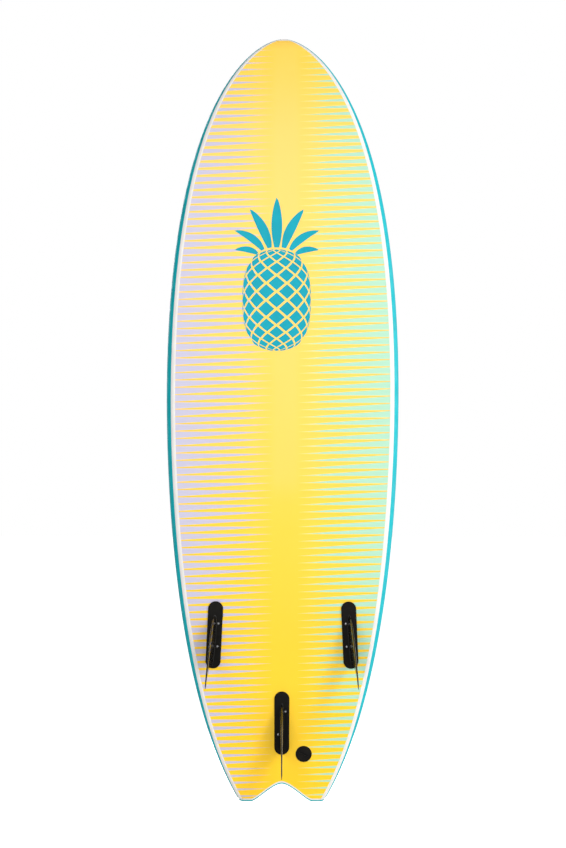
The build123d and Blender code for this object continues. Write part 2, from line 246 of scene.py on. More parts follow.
class Section:
    """Cross-sections at an array of heights: levels, widths, and the curves between them."""

    def __init__(self, z):
        z = np.asarray(z, float)
        share = end_share(z)
        end = np.where(share > 0, nose_thickness, tail_thickness)
        depth = mid_thickness - (mid_thickness - end) * share**2
        tip = np.minimum(board_length - z, nose_round) / nose_round
        swell = np.sqrt(np.maximum(0, 1 - (1 - tip) ** 2))
        bottom = bottom_y(z)
        self.width = np.maximum(half_width_at(z), least_width)
        self.apex = bottom + apex_share * depth
        self.floor = self.apex - (self.apex - bottom) * swell
        self.crown = self.apex + (bottom + depth - self.apex) * swell
        self.backing = self.floor + slick_thickness * swell
        self.lining = self.floor + bottom_layers * swell
        self.ceiling = self.crown - deck_skin_thickness * swell
        inset = tapered(slick_inset, slick_inset_end, z)
        self.flat = self.width - inset * self.width / (self.width + slick_inset_end)
        self.inner_width = self.width - rail_depth * self.width / (self.width + 2 * rail_depth)
        tuck = np.maximum(self.width - self.flat, least_tuck)
        edge = np.minimum(tapered(rail_inset, rail_inset_end, z), tuck / 2)
        self.cut = np.interp(1 - edge / tuck, tuck_share, handles)
        self.lift = np.interp(-self.flat / self.width, -deck_share, handles)

    def tuck(self, t, inner=False):
        """Rounding of the underside, from the flat (0) to the rail apex (1)."""
        floor = self.lining if inner else self.floor
        width = self.inner_width if inner else self.width
        across, up = roundness * (width - self.flat), roundness * (self.apex - floor)
        ends = [(self.flat, floor), (self.flat + across, floor), (width, self.apex - up), (width, self.apex)]
        return bezier(ends, t)

    def deck(self, t, inner=False):
        """Deck, from the right rail apex (0) over the crown to the left one (1)."""
        width = self.inner_width if inner else self.width
        rise = (self.ceiling if inner else self.crown) - self.apex
        right = [
            (width, self.apex),
            (width, self.apex + deck_shoulder * rise),
            (deck_crown_share * width, self.apex + deck_crown_lift * rise),
        ]
        x, y = bezier(right + [(-x, y) for x, y in right[::-1]], t)
        return x, np.minimum(y, highest_y)


def deck_y(x, z):
    """Deck surface at any point of the board."""
    section = Section(z)
    share = np.minimum(np.abs(x) / section.width, 1)
    return section.deck(np.interp(-share, -deck_share, handles))[1]


def underside_y(x, z):
    """Underside, with its rounded edge, at any point of the board."""
    section = Section(z)
    tuck = np.maximum(section.width - section.flat, least_tuck)
    share = np.clip((np.abs(x) - section.flat) / tuck, 0, 1)
    return section.tuck(np.interp(share, tuck_share, handles))[1]


# Points across each piece: s runs over the piece, and each returns the outer and inner surface

def slick_points(section, s):
    return (s * section.flat, section.floor), (s * section.flat, section.backing)


def strip_points(section, s):
    return section.tuck(s * section.cut), section.tuck(s * section.cut, inner=True)


def rail_points(section, s):
    """s from 0 to 1 rounds the underside edge, and from 1 to 2 laps on to the deck."""
    low = section.cut + (1 - section.cut) * np.minimum(s, 1)
    high = section.lift * np.maximum(s - 1, 0)
    sides = []
    for inner in (False, True):
        tuck, deck = section.tuck(low, inner), section.deck(high, inner)
        sides.append([np.where(s <= 1, a, b) for a, b in zip(tuck, deck)])
    return sides


def deck_points(section, s):
    t = section.lift + (1 - 2 * section.lift) * s
    return section.deck(t), section.deck(t, inner=True)


def tail_contour(inset, count=60):
    """Right half of the tail contour, from the outside of the tip into the notch."""
    (start_x, start_z), (low_x, low_z), (level_x, level_z) = tip_corner
    slide_x, slide_z = tip_start_slide
    corner = [
        (start_x + slide_x * inset, start_z + slide_z * inset),
        (low_x - inset / 2, low_z + inset),
        (level_x - inset / 2, level_z + inset),
        (tip_outer_x, inset),
    ]
    apex = notch_depth + inset
    notch = [(tip_inner_x, inset), (notch_handles[0], inset), (notch_handles[1], apex), (0, apex)]
    corner_x, corner_z = curve_through(corner, count)
    notch_x, notch_z = curve_through(notch, count)
    flat_x = np.linspace(tip_outer_x, tip_inner_x, count // 4)[1:-1]
    flat_z = np.full(len(flat_x), float(inset))
    return np.concatenate([corner_x, flat_x, notch_x]), np.concatenate([corner_z, flat_z, notch_z])


# ---------------------------------------------------------------- mesh helpers

def mesh_object(name, verts, faces, smooth_angle=sharp_angle):
    """Closed mesh from points in millimetres, shaded smooth but for its sharp edges."""
    mesh = bpy.data.meshes.new(name)
    mesh.from_pydata((np.asarray(verts, float) * MM).tolist(), [], faces)
    piece = bpy.data.objects.new(name, mesh)
    bpy.context.scene.collection.objects.link(piece)
    tidy_mesh(piece, smooth_angle)
    return piece


def moved(piece, placement):
    """Moves a piece's mesh, and leaves its own placement at zero."""
    piece.data.transform(placement)
    piece.data.update()
    piece.update_tag()
    return piece


def tidy_mesh(piece, smooth_angle=sharp_angle):
    """Merges doubled points, turns the faces outwards and marks the sharp edges."""
    shape = bmesh.new()
    shape.from_mesh(piece.data)
    bmesh.ops.remove_doubles(shape, verts=shape.verts, dist=merge_distance)
    bmesh.ops.dissolve_degenerate(shape, edges=shape.edges, dist=shortest_edge)
    bmesh.ops.recalc_face_normals(shape, faces=shape.faces)
    shape.to_mesh(piece.data)
    shape.free()
    piece.data.shade_smooth()
    piece.data.set_sharp_from_angle(angle=radians(smooth_angle))


def grid_faces(rows, columns, closed=False):
    """Quads of a grid of points, joined round its columns when closed."""
    faces = []
    for row in range(rows - 1):
        for column in range(columns if closed else columns - 1):
            after = (column + 1) % columns
            low, high = row * columns, (row + 1) * columns
            faces.append((low + column, low + after, high + after, high + column))
    return faces


def end_caps(rows, columns):
    """Faces that close the first and last ring of a closed grid."""
    last = (rows - 1) * columns
    return [tuple(range(columns))[::-1], tuple(range(last, last + columns))]


def slab(name, outer, inner):
    """Closed piece between two surfaces, each an array of rows by columns by 3."""
    rows, columns = outer.shape[:2]
    loops = np.concatenate([outer, inner[:, ::-1]], axis=1)
    around = 2 * columns
    faces = grid_faces(rows, around, closed=True)
    for first in (0, (rows - 1) * around):
        for i in range(columns - 1):
            faces.append((first + i, first + i + 1, first + around - 2 - i, first + around - 1 - i))
    return mesh_object(name, loops.reshape(-1, 3), faces)


def lofted(name, points_of, shares, inset, side=1, rows=150, tail_rows=26):
    """Piece that runs the length of the board and ends on the tail contour.

    Rows follow the outline, so they crowd together at the nose. In the tail each
    column runs straight down to where it meets the contour.
    """
    halvings = 30
    nose_start = 0.004  # the first row's place on the nose curve, just off its tip
    row_gap = 4
    s = np.asarray(shares, float)
    contour_x, contour_z = tail_contour(inset)
    order = np.argsort(contour_x)

    def past(z):
        (x, _), _ = points_of(Section(z), s)
        return z < np.interp(np.abs(x), contour_x[order], contour_z[order])

    low, high = np.full(len(s), float(tail_overrun)), np.full(len(s), float(tail_join_z))
    for _ in range(halvings):
        middle = (low + high) / 2
        outside = past(middle)
        low, high = np.where(outside, middle, low), np.where(outside, high, middle)
    nose_z = bezier(nose_side, np.linspace(nose_start, 1, rows))[1]
    tail_z = bezier(tail_side, np.linspace(0, 1, rows))[1][1:]
    long_z = np.concatenate([nose_z, tail_z[tail_z > tail_join_z + row_gap]])
    short_share = np.linspace(1, 0, tail_rows)[:, None]
    tail_part = high + (tail_join_z - high) * short_share
    z = np.concatenate([np.repeat(long_z[:, None], len(s), axis=1), tail_part])
    (outer_x, outer_y), (inner_x, inner_y) = points_of(Section(z), s)
    outer = np.stack([side * outer_x, outer_y + 0 * outer_x, z], axis=-1)
    inner = np.stack([side * inner_x, inner_y + 0 * inner_x, z], axis=-1)
    return slab(name, outer, inner)


def surface_frame(x, z, slope, turn=0):
    """Placement on the underside, in metres: local z faces out, local y towards the nose."""
    out = Vector((0, -1, slope)).normalized()
    across = Vector((1, 0, 0))
    along = out.cross(across)
    turned_x = across * cos(radians(turn)) + along * sin(radians(turn))
    turned_y = out.cross(turned_x)
    axes = Matrix((turned_x, turned_y, out)).transposed().to_4x4()
    return Matrix.Translation(Vector((x, float(bottom_y(z)), z)) * MM) @ axes


def fin_frame(name):
    """Placement of a fin on the underside, turned by its toe-in."""
    x, z, side = fin_places[name]
    slope = float(bottom_y(z + 1) - bottom_y(z - 1)) / 2
    return surface_frame(x, z, slope, side * toe_in)


def screw_points(name):
    """Where a fin's two screws sit on its plate."""
    side = fin_places[name][2]
    sides = (1, -1) if side == 0 else (-side, -side)
    rows = (screw_spacing / 2, -screw_spacing / 2)
    return [(place * screw_offset, row) for place, row in zip(sides, rows)]


def rod(name, placement, radius, low, high, x=0, y=0, count=64):
    """Round bar in a placement, in millimetres, to cut with."""
    angles = np.linspace(0, 2 * pi, count, endpoint=False)
    ring = np.stack([x + radius * np.cos(angles), y + radius * np.sin(angles)], axis=-1)
    ends = [np.column_stack([ring, np.full(count, float(height))]) for height in (low, high)]
    faces = grid_faces(2, count, closed=True) + end_caps(2, count)
    bar = mesh_object(name, np.concatenate(ends), faces)
    return moved(bar, placement)


def turned(name, profile, count=32):
    """Closed solid of revolution from (radius, height) points that start and end on the axis."""
    angles = np.linspace(0, 2 * pi, count, endpoint=False)
    rings = [
        np.column_stack([radius * np.cos(angles), radius * np.sin(angles), np.full(count, float(height))])
        for radius, height in profile
    ]
    faces = grid_faces(len(rings), count, closed=True)
    return mesh_object(name, np.concatenate(rings), faces, hardware_sharp_angle)


def cut_away(piece, cutters):
    """Subtracts closed meshes from a piece and removes them."""
    bpy.context.view_layer.update()
    for cutter in cutters:
        modifier = piece.modifiers.new("cut", "BOOLEAN")
        modifier.operation = "DIFFERENCE"
        modifier.solver = "EXACT"
        modifier.object = cutter
    evaluated = piece.evaluated_get(bpy.context.evaluated_depsgraph_get())
    mesh = bpy.data.meshes.new_from_object(evaluated)
    piece.modifiers.clear()
    piece.data = mesh
    for cutter in cutters:
        bpy.data.objects.remove(cutter)
    tidy_mesh(piece)


def joined(name, pieces):
    """One piece from several."""
    shape = bmesh.new()
    for piece in pieces:
        shape.from_mesh(piece.data)
        bpy.data.objects.remove(piece)
    mesh = bpy.data.meshes.new(name)
    shape.to_mesh(mesh)
    shape.free()
    whole = bpy.data.objects.new(name, mesh)
    bpy.context.scene.collection.objects.link(whole)
    tidy_mesh(whole, hardware_sharp_angle)
    return whole


def place(piece, slot, *nodes):
    """Rides on the board and stands for these CAD nodes. The slot argument is not used."""
    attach(piece, "root")
    if nodes:
        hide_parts(*nodes)
    return piece


# ---------------------------------------------------------------- material helpers

noise_span = (0.3, 0.7)  # most of a noise lies between these


class Term:
    """A number in a shader, so that a pattern reads as a formula."""

    def __init__(self, tree, socket):
        self.tree, self.socket = tree, socket

    def maths(self, operation, *others):
        node = self.tree.nodes.new("ShaderNodeMath")
        node.operation = operation
        for socket, value in zip(node.inputs, (self, *others)):
            if isinstance(value, Term):
                self.tree.links.new(value.socket, socket)
            else:
                socket.default_value = value
        return Term(self.tree, node.outputs[0])

    def __add__(self, other):
        return self.maths("ADD", other)

    def __sub__(self, other):
        return self.maths("SUBTRACT", other)

    def __mul__(self, other):
        return self.maths("MULTIPLY", other)

    def __truediv__(self, other):
        return self.maths("DIVIDE", other)

    def __pow__(self, other):
        return self.maths("POWER", other)

    def at_least(self, other):
        return self.maths("MAXIMUM", other)

    def at_most(self, other):
        return self.maths("MINIMUM", other)

    def fraction(self):
        return self.maths("FRACT")

    def above(self, other):
        return self.maths("GREATER_THAN", other)

    def ramp(self, low, high):
        """0 below low, 1 above high, smooth between."""
        node = self.tree.nodes.new("ShaderNodeMapRange")
        node.interpolation_type = "SMOOTHSTEP"
        self.tree.links.new(self.socket, node.inputs["Value"])
        node.inputs["From Min"].default_value = low
        node.inputs["From Max"].default_value = high
        return Term(self.tree, node.outputs["Result"])


class Look:
    """A material with one Principled shader, and the pattern nodes that feed it."""

    def __init__(self, name, **settings):
        self.material = bpy.data.materials.new(name)
        self.material.use_nodes = True
        self.tree = self.material.node_tree
        self.shader = self.tree.nodes["Principled BSDF"]
        self.normal = None
        for socket, value in settings.items():
            self.shader.inputs[socket.replace("_", " ")].default_value = value
        self.place = self.tree.nodes.new("ShaderNodeTexCoord").outputs["Object"]

    def position(self):
        """The x, y and z of the shaded point, in metres."""
        node = self.tree.nodes.new("ShaderNodeSeparateXYZ")
        self.tree.links.new(self.place, node.inputs[0])
        return [Term(self.tree, socket) for socket in node.outputs]

    def stretched(self, x, y, z):
        """Coordinates that squeeze a pattern by these factors."""
        node = self.tree.nodes.new("ShaderNodeMapping")
        node.inputs["Scale"].default_value = (x, y, z)
        self.tree.links.new(self.place, node.inputs["Vector"])
        return node.outputs[0]

    def noise(self, scale, detail=2.0, roughness=0.5, vector=None):
        node = self.tree.nodes.new("ShaderNodeTexNoise")
        self.tree.links.new(vector or self.place, node.inputs["Vector"])
        node.inputs["Scale"].default_value = scale
        node.inputs["Detail"].default_value = detail
        node.inputs["Roughness"].default_value = roughness
        return Term(self.tree, node.outputs["Fac"])

    def cells(self, scale, feature="F1"):
        node = self.tree.nodes.new("ShaderNodeTexVoronoi")
        node.feature = feature
        self.tree.links.new(self.place, node.inputs["Vector"])
        node.inputs["Scale"].default_value = scale
        return Term(self.tree, node.outputs["Distance"])

    def mix(self, share, low, high):
        """Colour between two colours, each a colour or a socket."""
        node = self.tree.nodes.new("ShaderNodeMix")
        node.data_type = "RGBA"
        self.tree.links.new(share.socket, node.inputs["Factor"])
        for socket, colour in zip([s for s in node.inputs if s.type == "RGBA"], (low, high)):
            if isinstance(colour, tuple):
                socket.default_value = (*colour, 1)
            else:
                self.tree.links.new(colour, socket)
        return [s for s in node.outputs if s.type == "RGBA"][0]

    def colour(self, socket):
        """Feeds a colour to the shader."""
        self.tree.links.new(socket, self.shader.inputs["Base Color"])

    def mottle(self, colour, amount, scale):
        """Slightly uneven colour."""
        dark, light = ([min(1, c * k) for c in colour] for k in (1 - amount, 1 + amount))
        patches = self.noise(scale, detail=3.0).ramp(*noise_span)
        self.colour(self.mix(patches, tuple(dark), tuple(light)))

    def rough(self, low, high, scale):
        """Roughness that wanders between two values."""
        wander = self.noise(scale).ramp(*noise_span)
        self.tree.links.new((wander * (high - low) + low).socket, self.shader.inputs["Roughness"])

    def bump(self, height, millimetres, strength=1.0):
        """Adds relief of this depth on what is there already."""
        node = self.tree.nodes.new("ShaderNodeBump")
        node.inputs["Distance"].default_value = millimetres * MM
        node.inputs["Strength"].default_value = strength
        self.tree.links.new(height.socket, node.inputs["Height"])
        if self.normal:
            self.tree.links.new(self.normal, node.inputs["Normal"])
        self.normal = node.outputs[0]
        self.tree.links.new(self.normal, self.shader.inputs["Normal"])


def dress(piece, *looks):
    """Gives an object these materials, in order."""
    piece.data.materials.clear()
    for look in looks:
        piece.data.materials.append(look.material)
    return piece


# ---------------------------------------------------------------- materials

yellow_deep = (0.95, 0.592, 0.016)
# Paler yellow, part print and part painted sheen: its bluer cast stands in for the lamps' reflection
yellow_pale_print_and_sheen = (0.95, 0.622, 0.165)
lilac = (0.515, 0.490, 0.625)
mint = (0.405, 0.680, 0.505)
peach = (0.800, 0.585, 0.280)
lime = (0.720, 0.710, 0.210)
teal_print = (0.0, 0.325, 0.420)
teal_foam = (0.0, 0.385, 0.440)
white_sheet = (0.735, 0.720, 0.695)
white_deck = (0.700, 0.700, 0.680)
bead_seam = (0.62, 0.62, 0.60)
bead_face = (0.86, 0.86, 0.84)
wood_dark = (0.34, 0.20, 0.09)
wood_light = (0.62, 0.43, 0.24)
steel_dark = (0.16, 0.16, 0.165)
steel_light = (0.26, 0.26, 0.265)
black_blade = (0.0045, 0.0040, 0.0030)
black_plate = (0.0035, 0.0030, 0.0020)
black_plug = (0.0050, 0.0044, 0.0036)
floor_white = (0.90, 0.90, 0.90)

# Printed stripes. They crowd together towards both ends of the board, by powers of the
# distance from its middle.
stripe_pitch = 1 / 57.16  # from stripe to stripe in the middle
nose_fifth_power = 3.18
nose_third_power = 0.41
tail_third_power = 1.79
stripe_edge_share = 0.87  # a stripe's share of the pitch where it is widest
stripe_offset = 0.863  # where the stripes start, as a share of the pitch
plain_left = -0.023  # the plain band down the middle
plain_right = 0.036
plain_blur = 0.012
widest_print = 0.252
tip_colour_reach = 0.35  # a wedge turns from its tip colour to its own over this share

# Share of the paler yellow. It grows towards the nose and the right: that part is painted sheen, the lamps'
# reflection on the gloss painted into the colour. It steps up above the middle as print, most of all in the
# plain band, and falls away at the nose's end.
sheen_lean = 0.5
sheen_wander = 0.25
sheen_span = (0.25, 1.75)
sheen_share = 0.6
step_span = (0.70, 0.79)
step_share = 0.12
step_plain_share = 0.12
nose_span = (1.58, 1.83)
nose_loss = 0.28


def print_look():
    """Printed underside: yellow with lilac wedges on the left and mint ones on the right, and a painted
    sheen that pales the yellow towards the nose and the right.
    """
    look = Look("printed_slick_painted_sheen", Coat_Weight=0.1, Coat_Roughness=0.3, Specular_IOR_Level=0.3)
    x, _, z = look.position()
    along = z - mid_z * MM
    to_nose, to_tail = along.at_least(0.0), along.at_most(0.0)
    nose_crowding = to_nose**5.0 * nose_fifth_power - to_nose**3.0 * nose_third_power
    tail_crowding = to_tail * to_tail * to_tail * tail_third_power
    phase = (along / stripe_pitch + nose_crowding + tail_crowding + stripe_offset).fraction()
    left_reach = ((x - plain_left) * -1.0 / (widest_print + plain_left)).at_least(0.0)
    right_reach = ((x - plain_right) / (widest_print - plain_right)).at_least(0.0)
    left_stripe = phase.above(left_reach * -stripe_edge_share + 1.0) * left_reach.above(0.0)
    right_stripe = (right_reach * stripe_edge_share).above(phase)
    # Painted sheen: a paler, bluer yellow that stands in for the lamps' reflection, stronger towards the
    # nose and the right, with some random wander
    wander = look.noise(scale=5.0) * sheen_wander
    painted_sheen = (z + x * sheen_lean + wander).ramp(*sheen_span)
    from_left = x.ramp(plain_left - plain_blur, plain_left + plain_blur)
    from_right = (x * -1.0).ramp(-plain_right - plain_blur, plain_blur - plain_right)
    step = z.ramp(*step_span) * (from_left * from_right * step_plain_share + step_share)
    # Pale share: the printed step above the middle plus the painted sheen, less a fade at the nose's end
    pale = step + painted_sheen * sheen_share - z.ramp(*nose_span) * nose_loss
    yellow = look.mix(pale, yellow_deep, yellow_pale_print_and_sheen)
    left_colour = look.mix(left_reach.ramp(0.0, tip_colour_reach), peach, lilac)
    right_colour = look.mix(right_reach.ramp(0.0, tip_colour_reach), lime, mint)
    striped = look.mix(left_stripe, yellow, left_colour)
    look.colour(look.mix(right_stripe, striped, right_colour))
    look.rough(low=0.30, high=0.42, scale=30.0)
    look.bump(look.noise(scale=14.0), millimetres=0.6, strength=0.35)
    look.bump(look.noise(scale=420.0), millimetres=0.05, strength=0.5)
    return look


def emblem_look():
    """Turquoise ink of the printed mark."""
    look = Look("printed_emblem", Coat_Weight=0.05, Coat_Roughness=0.3, Specular_IOR_Level=0.15)
    look.mottle(teal_print, amount=0.05, scale=18.0)
    look.rough(low=0.30, high=0.42, scale=30.0)
    look.bump(look.noise(scale=420.0), millimetres=0.05, strength=0.5)
    return look


def sheet_look():
    """White foam sheet, heat-sealed at the edge."""
    look = Look("white_foam_sheet", Specular_IOR_Level=0.35)
    look.mottle(white_sheet, amount=0.025, scale=25.0)
    look.rough(low=0.42, high=0.56, scale=60.0)
    look.bump(look.noise(scale=60.0), millimetres=0.35, strength=0.3)
    look.bump(look.cells(scale=900.0), millimetres=0.06, strength=0.5)
    return look


def rail_look():
    """Closed-cell turquoise foam with a fine pebbled skin."""
    look = Look("turquoise_rail_foam", Specular_IOR_Level=0.15)
    look.mottle(teal_foam, amount=0.06, scale=22.0)
    look.rough(low=0.48, high=0.66, scale=50.0)
    look.bump(look.noise(scale=35.0), millimetres=0.5, strength=0.3)
    look.bump(look.cells(620.0, "SMOOTH_F1"), millimetres=0.14, strength=0.6)
    return look


def deck_look():
    """White deck foam, embossed with a small pebble pattern for grip."""
    look = Look("embossed_deck_foam", Specular_IOR_Level=0.3)
    look.mottle(white_deck, amount=0.012, scale=30.0)
    look.rough(low=0.55, high=0.72, scale=40.0)
    groove = look.cells(150.0, "DISTANCE_TO_EDGE").ramp(0.0, 0.16)
    look.bump(look.noise(scale=60.0), millimetres=0.3, strength=0.25)
    look.bump(groove, millimetres=0.45, strength=0.8)
    look.bump(look.noise(scale=1500.0, detail=1.0), millimetres=0.05, strength=0.5)
    return look


def bead_look():
    """Expanded bead foam of the core."""
    look = Look("bead_foam", Specular_IOR_Level=0.3)
    seams = look.cells(260.0, "DISTANCE_TO_EDGE").ramp(0.0, 0.1)
    look.colour(look.mix(seams, bead_seam, bead_face))
    look.rough(low=0.6, high=0.8, scale=80.0)
    look.bump(seams, millimetres=0.4, strength=0.7)
    return look


def plywood_look():
    """Stringer wood, its grain along the board."""
    look = Look("stringer_plywood", Specular_IOR_Level=0.3)
    along_board = look.stretched(6.0, 6.0, 0.25)
    grain = look.noise(scale=60.0, detail=5.0, roughness=0.6, vector=along_board)
    look.colour(look.mix(grain.ramp(0.35, 0.65), wood_dark, wood_light))
    look.rough(low=0.5, high=0.7, scale=70.0)
    look.bump(grain, millimetres=0.15, strength=0.6)
    return look


def blade_look():
    """Polished black fin plastic with faint moulding waves."""
    look = Look("glossy_black_fin", Coat_Weight=0.28, Coat_Roughness=0.10, Specular_IOR_Level=0.2)
    look.mottle(black_blade, amount=0.3, scale=60.0)
    look.rough(low=0.12, high=0.24, scale=45.0)
    look.bump(look.noise(scale=25.0), millimetres=0.12, strength=0.25)
    return look


def moulded_look(name, colour, low, high):
    """Satin moulded plastic with a spark-eroded grain."""
    look = Look(name, Specular_IOR_Level=0.10)
    look.mottle(colour, amount=0.25, scale=90.0)
    look.rough(low, high, scale=120.0)
    look.bump(look.noise(scale=1600.0), millimetres=0.04, strength=0.6)
    return look


def steel_look():
    """Stainless steel with fine turning marks."""
    look = Look("stainless_steel", Metallic=1.0)
    turning = look.stretched(1.0, 12.0, 1.0)
    marks = look.noise(scale=300.0, detail=4.0, roughness=0.6, vector=turning)
    look.colour(look.mix(marks.ramp(*noise_span), steel_dark, steel_light))
    look.rough(low=0.16, high=0.28, scale=200.0)
    look.bump(marks, millimetres=0.02, strength=0.5)
    return look


# ---------------------------------------------------------------- board skins

def underside():
    """Printed slick, with a seat for the leash nut, and its white strips."""
    across = np.linspace(-1, 1, slick_columns)
    slick = lofted("printed_bottom_slick", slick_points, across, slick_tail_gap)
    cut_away(slick, [rod("nut_seat", plug_frame(), nut_seat_radius, *nut_seat_span)])
    place(dress(slick, print_look()), "slick", "bottom_slick")
    sheet = sheet_look()
    for side, name in ((-1, "left"), (1, "right")):
        strip = lofted(f"white_edge_{name}", strip_points, np.linspace(0, 1, strip_columns), tail_band, side)
        place(dress(strip, sheet), "white_foam", f"edge_strip_{name}")
    dress(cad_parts["edge_strip_tail"], sheet)
    dress(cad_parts["bottom_foam"], sheet)


def rails():
    """Turquoise rail foam down each side, and its band round the tail."""
    look = rail_look()
    edge, lap = np.linspace(0, 1, rail_edge_columns), np.linspace(1, 2, rail_deck_columns)
    shares = np.concatenate([edge, lap[1:]])
    for side, name in ((-1, "left"), (1, "right")):
        rail = lofted(f"rail_foam_{name}", rail_points, shares, tail_band, side)
        place(dress(rail, look), "rail_foam", f"rail_{name}")
    place(dress(tail_band_piece(), look), "rail_foam", "tail_rail")


def tail_band_piece():
    """Turquoise band that wraps the tips and the notch, through the board's thickness."""
    (rim_x, rim_z), (back_x, back_z) = tail_contour(0), tail_contour(tail_band)
    on_board = rim_x <= half_width_at(rim_z) - band_margin
    back_x = np.minimum(back_x, half_width_at(back_z) - band_margin)
    loops = []
    for x, z in ((rim_x[on_board], rim_z[on_board]), (back_x[on_board], back_z[on_board])):
        loops.append((np.concatenate([x, -x[::-1][1:]]), np.concatenate([z, z[::-1][1:]])))
    (outer_x, outer_z), (inner_x, inner_z) = loops
    low, high = underside_y(outer_x, outer_z), deck_y(outer_x, outer_z)
    inner_low, inner_high = underside_y(inner_x, inner_z), deck_y(inner_x, inner_z)
    edge = np.minimum(band_edge_round, (high - low) / 3)
    corners = []
    for angle in np.radians(np.linspace(0, 90, band_round_steps)):
        pull = edge * (1 - sin(angle)) / tail_band
        corners.append((pull, low + edge * (1 - cos(angle))))
    profile = corners + [(pull, high + low - y) for pull, y in corners[::-1]]
    surface = [
        np.stack([outer_x + (inner_x - outer_x) * pull, y, outer_z + (inner_z - outer_z) * pull], axis=-1)
        for pull, y in profile
    ]
    back = [
        np.stack([inner_x, inner_low + (inner_high - inner_low) * i / (len(profile) - 1), inner_z], axis=-1)
        for i in range(len(profile))
    ]
    return slab("rail_foam_tail", np.stack(surface, axis=1), np.stack(back, axis=1))


def plug_frame():
    """The leash plug's axis, halfway between square to the underside and to the deck."""
    rise = float(bottom_y(plug_z + 1) - bottom_y(plug_z - 1))
    deck_rise = float(deck_y(plug_x, plug_z + 1) - deck_y(plug_x, plug_z - 1))
    return surface_frame(plug_x, plug_z, (rise + deck_rise) / 4)


def deck():
    """Deck foam, with recesses for the barrel nuts and the leash cup."""
    skin = lofted("deck_foam", deck_points, np.linspace(0, 1, deck_columns), tail_band)
    seats = [rod("cup_seat", plug_frame(), cup_seat_radius, *cup_seat_span)]
    for name in fin_places:
        for x, y in screw_points(name):
            seat = rod("barrel_seat", fin_frame(name), barrel_seat_radius, *barrel_seat_span, x, y)
            seats.append(seat)
    cut_away(skin, seats)
    place(dress(skin, deck_look()), "deck_foam", "deck_skin")


# ---------------------------------------------------------------- fins

def blade_ring(height, lean, count=28):
    """Foil section of a blade at a height above the underside, as a closed ring."""
    share = height / fin_height
    leading = blade_front - fin_sweep * share**fin_front_rake
    base_trailing = blade_front - fin_base
    tip_trailing = blade_front - fin_sweep - fin_tip_chord
    trailing = base_trailing + (tip_trailing - base_trailing) * share**fin_back_rake
    trailing += fin_belly * share * (1 - share)
    bulge = fin_thickness * (1 - fin_thinning * share) / 2 / roundness
    flare = min(1, max(0, 1 - (height - plate_height) / root_fillet))
    flare = root_fillet * (1 - (1 - flare**2) ** 0.5)
    near_tip = min(1, max(0, (share - (1 - blade_tip_share)) / blade_tip_share))
    shrink = max(blade_tip_least, (1 - near_tip**2) ** 0.5)
    middle, half = (leading + trailing) / 2, (leading - trailing) / 2 * shrink
    leading, trailing = middle + half, middle - half
    bulge *= shrink
    thinning_y = trailing + fin_tail_start * (leading - trailing)
    face = [
        (0, leading),
        (fin_nose_fullness * bulge, leading),
        (roundness * bulge, thinning_y),
        (0, trailing),
    ]
    t = (1 - np.cos(np.linspace(0, pi, count))) / 2
    x, y = bezier(face, t)
    x = x + flare * np.maximum(0, np.sin(np.linspace(0, pi, count))) ** 0.5
    y = y + flare * np.cos(np.linspace(0, pi, count))
    shift = height * tan(radians(lean))
    ring_x = np.concatenate([shift + x, shift - x[::-1][1:-1]])
    ring_y = np.concatenate([y, y[::-1][1:-1]])
    return np.stack([ring_x, ring_y, np.full(len(ring_x), height)], axis=-1)


def blade(name):
    """Raked, foiled blade that flares into its plate and is rounded at the tip."""
    lean = cant * fin_places[name][2]
    body_share = 1 - blade_tip_share
    root = plate_height + root_fillet * (1 - np.cos(np.linspace(0, pi / 2, blade_root_rows)))
    body = np.linspace(plate_height + root_fillet, fin_height * body_share, blade_body_rows)[1:]
    tip_rise = np.sin(np.linspace(0, pi / 2, blade_tip_rows)[1:])
    tip = fin_height * (body_share + blade_tip_share * tip_rise)
    heights = np.concatenate([[plate_height - blade_bed], root, body, tip])
    heights = np.minimum(heights, fin_height)
    rings = [blade_ring(height, lean) for height in heights]
    count = len(rings[0])
    faces = grid_faces(len(rings), count, closed=True) + end_caps(len(rings), count)
    return mesh_object(f"fin_blade_{name}", np.concatenate(rings), faces, blade_sharp_angle)


def stadium(length, width, count=24):
    """Outline of a slot shape, its length along y."""
    radius = width / 2
    reach = length / 2 - radius
    angles = np.linspace(0, pi, count)
    top = np.stack([radius * np.cos(angles), reach + radius * np.sin(angles)], axis=-1)
    return np.concatenate([top, -top])


def fin_base_plate(name):
    """Stadium plate with a rounded upper edge and two counterbores."""
    length = plate_lengths[name]
    steps = [(0, -plate_bed), (0, plate_height - plate_edge_round)]
    for angle in np.radians(np.linspace(0, 90, plate_round_steps)[1:]):
        inward = plate_edge_round * (1 - cos(angle))
        steps.append((inward, plate_height - plate_edge_round * (1 - sin(angle))))
    rings = []
    for inward, height in steps:
        outline = stadium(length - 2 * inward, plate_width - 2 * inward)
        rings.append(np.column_stack([outline, np.full(len(outline), height)]))
    count = len(rings[0])
    faces = grid_faces(len(rings), count, closed=True) + end_caps(len(rings), count)
    plate = mesh_object(f"fin_plate_{name}", np.concatenate(rings), faces, plate_sharp_angle)
    flat, seat = Matrix.Identity(4), plate_height - counterbore_depth
    seats = [
        rod("screw_seat", flat, counterbore_radius, seat, cutter_top, x, y, counterbore_sides)
        for x, y in screw_points(name)
    ]
    cut_away(plate, seats)
    return plate


def fins():
    """Each fin moulding: a satin plate and a glossy blade, on the underside's own slope."""
    plate_finish = moulded_look("satin_black_plate", black_plate, low=0.40, high=0.54)
    blade_finish = blade_look()
    for name in fin_places:
        plate, fin = fin_base_plate(name), blade(name)
        for piece, finish in ((plate, plate_finish), (fin, blade_finish)):
            dress(moved(piece, fin_frame(name)), finish)
            place(piece, "fin_plastic", f"fin_{name}")


def hexagon_cutter(bottom):
    """Hexagonal bar that cuts a screw's socket down to this height."""
    size = (screw_socket_radius, bottom, cutter_top)
    return rod("socket", Matrix.Identity(4), *size, count=screw_socket_sides)


